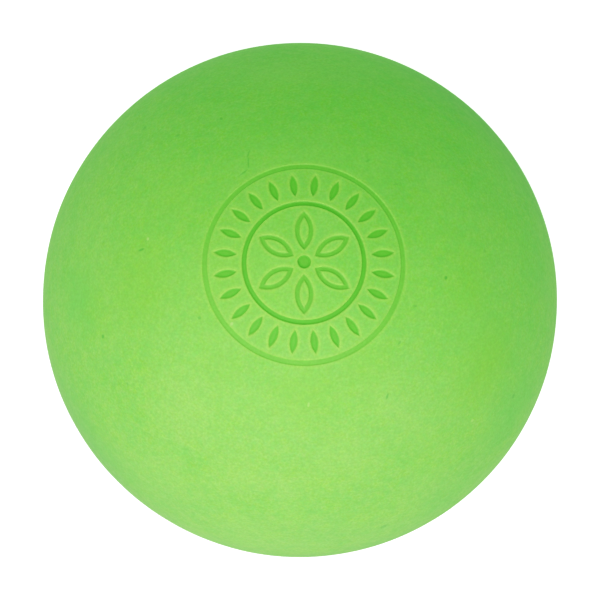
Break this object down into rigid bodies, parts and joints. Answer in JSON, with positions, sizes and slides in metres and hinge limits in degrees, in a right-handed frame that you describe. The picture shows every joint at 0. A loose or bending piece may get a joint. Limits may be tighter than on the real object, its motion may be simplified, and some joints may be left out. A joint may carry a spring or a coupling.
{
  "type": "lacrosse ball",
  "caption": "Solid rubber ball with a recessed round mark: two ring grooves, a border of leaves and a rosette.",
  "frame": {"origin": "centre of the ball", "axes": "+Z from the ball's centre through the middle of the recessed mark, square to the mould's parting line; +Y is the way that the mark's upright petal points, and up in the picture"},
  "size_m": [0.0636, 0.0636, 0.0635],
  "materials": {
    "green_rubber": "matte"
  },
  "bodies": {
    "root": {"ball": "green_rubber"}
  },
  "joints": []
}
